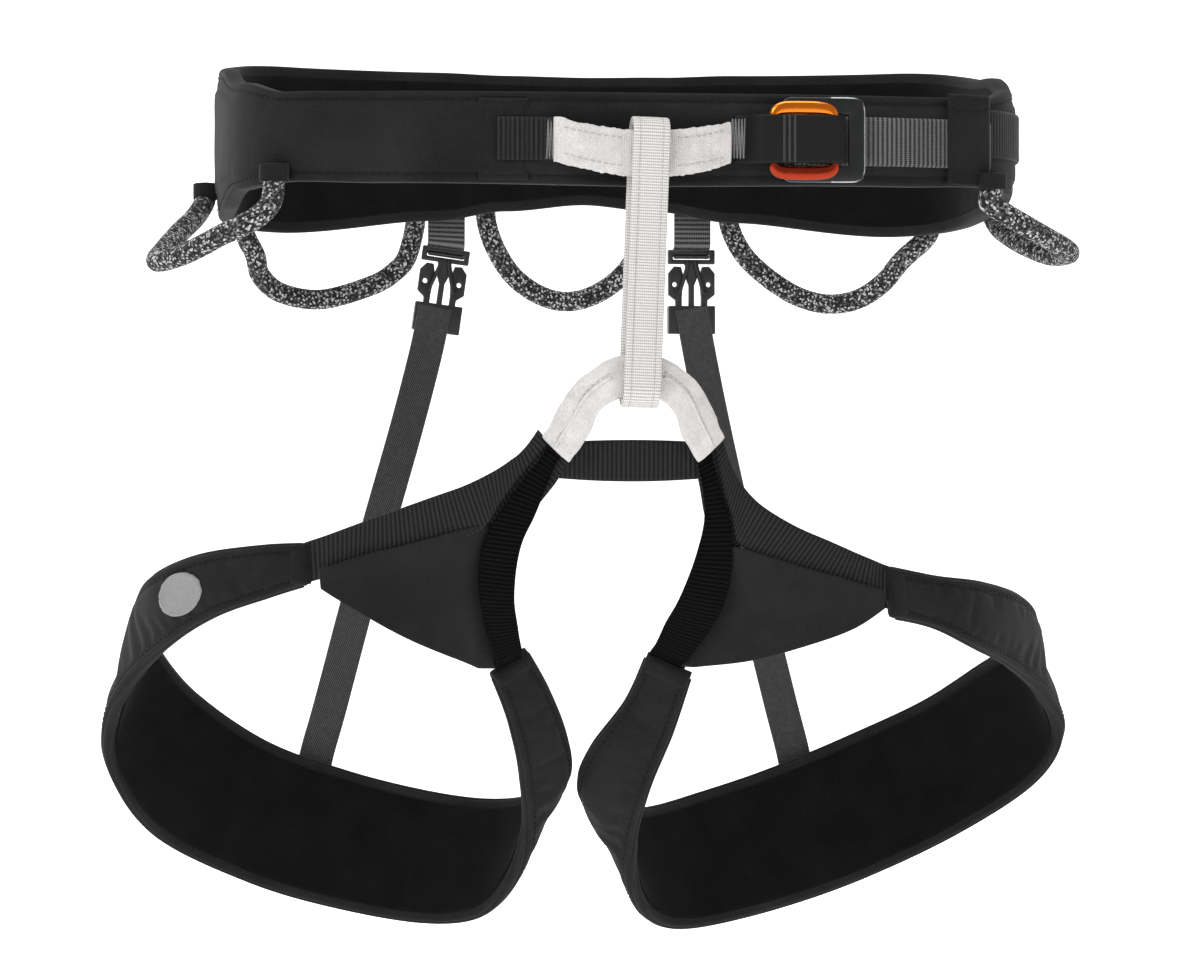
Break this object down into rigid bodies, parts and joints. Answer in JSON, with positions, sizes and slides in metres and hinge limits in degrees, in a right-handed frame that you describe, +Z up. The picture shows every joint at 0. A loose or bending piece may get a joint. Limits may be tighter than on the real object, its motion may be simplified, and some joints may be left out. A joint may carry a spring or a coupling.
{
  "type": "climbing harness",
  "caption": "Sport climbing harness: padded waist belt and leg loops, belay loop, tie-in points, plate buckle, gear loops, and elastic risers with side-release buckles.",
  "frame": {"origin": "centre of the wearer's waist, level with the middle of the front of the belt", "axes": "+Z up; -Y is the wearer's front, where the belay loop is; -X is the wearer's right side"},
  "size_m": [0.4154, 0.2298, 0.3745],
  "materials": {
    "belt_fabric": "matte fine-weave charcoal fabric",
    "lining": "matte dark microfibre",
    "foam": "closed-cell foam, dark",
    "webbing_black": "ribbed black webbing",
    "webbing_grey": "ribbed dark grey webbing",
    "bartack": "dense grey stitching",
    "sleeve_white": "off-white woven sleeve",
    "belay_white": "off-white webbing",
    "gear_sheath": "black and white speckled braid",
    "gear_core": "flexible plastic rod",
    "buckle_black": "black anodised aluminium",
    "buckle_orange": "orange anodised aluminium",
    "buckle_plastic": "black moulded acetal",
    "elastic": "dark grey twill elastic",
    "badge": "plain grey oval patch"
  },
  "bodies": {
    "waist_belt": {"belt_foam_core": "foam", "belt_inner_lining": "lining", "belt_load_webbing": "webbing_black", "belt_outer_shell": "belt_fabric", "belt_reinforcement_patch": "belt_fabric", "gear_loop_anchor_tabs": "belt_fabric", "leg_bridge_webbing": "webbing_black", "lower_tie_in_sleeve": "sleeve_white", "lower_tie_in_webbing": "webbing_black", "riser_buckle_female_left": "buckle_plastic", "riser_buckle_female_right": "buckle_plastic", "riser_elastic_left": "elastic", "riser_elastic_right": "elastic", "strap_keeper": "belt_fabric", "tie_in_bartacks": "bartack", "tie_in_sleeve": "sleeve_white", "tie_in_webbing_core": "webbing_black", "tie_in_webbing_left": "webbing_black", "tie_in_webbing_right": "webbing_black", "waist_strap": "webbing_grey", "waist_strap_tail": "webbing_black"},
    "belay_loop": {"belay_loop_inner_layer": "belay_white", "belay_loop_outer_layer": "belay_white"},
    "right_leg": {"leg_badge": "badge", "leg_inner_strap_right": "webbing_black", "leg_outer_strap_right": "webbing_black", "leg_pad_foam_right": "foam", "leg_pad_lining_right": "lining", "leg_pad_shell_right": "belt_fabric", "leg_stretch_panel_right": "belt_fabric"},
    "left_leg": {"leg_inner_strap_left": "webbing_black", "leg_outer_strap_left": "webbing_black", "leg_pad_foam_left": "foam", "leg_pad_lining_left": "lining", "leg_pad_shell_left": "belt_fabric", "leg_stretch_panel_left": "belt_fabric"},
    "right_buckle": {"riser_buckle_male_right": "buckle_plastic", "riser_upper_webbing_right": "webbing_grey"},
    "left_buckle": {"riser_buckle_male_left": "buckle_plastic", "riser_upper_webbing_left": "webbing_grey"},
    "right_prong_outer": {"riser_prong_outer_right": "buckle_plastic"},
    "right_prong_inner": {"riser_prong_inner_right": "buckle_plastic"},
    "left_prong_outer": {"riser_prong_outer_left": "buckle_plastic"},
    "left_prong_inner": {"riser_prong_inner_left": "buckle_plastic"},
    "waist_buckle": {"buckle_webbing": "webbing_black", "waist_buckle_frame": "buckle_black"},
    "waist_buckle_slider": {"waist_buckle_slider": "buckle_orange"},
    "gear_loop_front_right": {"gear_loop_front_right_core": "gear_core", "gear_loop_front_right_sheath": "gear_sheath"},
    "gear_loop_front_left": {"gear_loop_front_left_core": "gear_core", "gear_loop_front_left_sheath": "gear_sheath"},
    "gear_loop_rear_right": {"gear_loop_rear_right_core": "gear_core", "gear_loop_rear_right_sheath": "gear_sheath"},
    "gear_loop_rear_left": {"gear_loop_rear_left_core": "gear_core", "gear_loop_rear_left_sheath": "gear_sheath"},
    "gear_loop_centre": {"gear_loop_centre_core": "gear_core", "gear_loop_centre_sheath": "gear_sheath"}
  },
  "joints": [
    {"name": "belay_loop_twist", "type": "hinge", "parent": "waist_belt", "child": "belay_loop", "pos_m": [0, -0.1075, 0], "axis": [0.0384, 0, 0.9993], "range_deg": [-12, 12]},
    {"name": "right_leg_swing", "type": "hinge", "parent": "waist_belt", "child": "right_leg", "pos_m": [-0.038, -0.092, -0.126], "axis": [-1, 0, 0], "range_deg": [-10, 45], "stiffness_Nm_per_rad": 0.35, "deforming": ["riser_elastic_right"]},
    {"name": "left_leg_swing", "type": "hinge", "parent": "waist_belt", "child": "left_leg", "pos_m": [0.028, -0.092, -0.126], "axis": [-1, 0, 0], "range_deg": [-10, 45], "stiffness_Nm_per_rad": 0.35, "deforming": ["riser_elastic_left"]},
    {"name": "right_buckle_release", "type": "slide", "parent": "waist_belt", "child": "right_buckle", "axis": [0.1392, 0, 0.9903], "range_m": [0, 0.018], "deforming": ["riser_upper_webbing_right"]},
    {"name": "right_prong_outer_squeeze", "type": "hinge", "parent": "right_buckle", "child": "right_prong_outer", "pos_m": [-0.06646, 0.101, -0.04322], "axis": [0, -1, 0], "range_deg": [0, 6], "stiffness_Nm_per_rad": 0.05},
    {"name": "right_prong_inner_squeeze", "type": "hinge", "parent": "right_buckle", "child": "right_prong_inner", "pos_m": [-0.05616, 0.101, -0.04467], "axis": [0, 1, 0], "range_deg": [0, 6]},
    {"name": "left_buckle_release", "type": "slide", "parent": "waist_belt", "child": "left_buckle", "axis": [0, 0, 1], "range_m": [0, 0.018], "deforming": ["riser_upper_webbing_left"]},
    {"name": "left_prong_outer_squeeze", "type": "hinge", "parent": "left_buckle", "child": "left_prong_outer", "pos_m": [0.0547, 0.101, -0.044], "axis": [0, 1, 0], "range_deg": [0, 6], "stiffness_Nm_per_rad": 0.05},
    {"name": "left_prong_inner_squeeze", "type": "hinge", "parent": "left_buckle", "child": "left_prong_inner", "pos_m": [0.0443, 0.101, -0.044], "axis": [0, -1, 0], "range_deg": [0, 6]},
    {"name": "waist_buckle_tilt", "type": "hinge", "parent": "waist_belt", "child": "waist_buckle", "pos_m": [0.049, -0.1, 0], "axis": [0, 0, -1], "range_deg": [0, 20]},
    {"name": "waist_buckle_slider", "type": "slide", "parent": "waist_buckle", "child": "waist_buckle_slider", "axis": [-1, 0, 0], "range_m": [0, 0.0025]},
    {"name": "gear_loop_front_right_swing", "type": "hinge", "parent": "waist_belt", "child": "gear_loop_front_right", "pos_m": [-0.14921, -0.07891, -0.018], "axis": [-0.2, 0.9797, -0.0137], "range_deg": [0, 35], "stiffness_Nm_per_rad": 0.03},
    {"name": "gear_loop_front_left_swing", "type": "hinge", "parent": "waist_belt", "child": "gear_loop_front_left", "pos_m": [0.14669, -0.08086, -0.019], "axis": [-0.2016, -0.9795, 0], "range_deg": [0, 35], "stiffness_Nm_per_rad": 0.03},
    {"name": "gear_loop_rear_right_swing", "type": "hinge", "parent": "waist_belt", "child": "gear_loop_rear_right", "pos_m": [-0.15375, 0.07372, -0.023], "axis": [0.9447, 0.3159, 0.0878], "range_deg": [0, 35], "stiffness_Nm_per_rad": 0.03},
    {"name": "gear_loop_rear_left_swing", "type": "hinge", "parent": "waist_belt", "child": "gear_loop_rear_left", "pos_m": [0.06594, 0.10114, -0.013], "axis": [0.9509, -0.2956, -0.0922], "range_deg": [0, 35], "stiffness_Nm_per_rad": 0.03},
    {"name": "gear_loop_centre_swing", "type": "hinge", "parent": "waist_belt", "child": "gear_loop_centre", "pos_m": [-0.04246, 0.1019, -0.011], "axis": [1, 0.0018, 0], "range_deg": [0, 35], "stiffness_Nm_per_rad": 0.03}
  ],
  "couplings": [
    {"joint": "right_prong_inner_squeeze", "follows": "right_prong_outer_squeeze", "ratio": 1},
    {"joint": "left_prong_inner_squeeze", "follows": "left_prong_outer_squeeze", "ratio": 1}
  ]
}
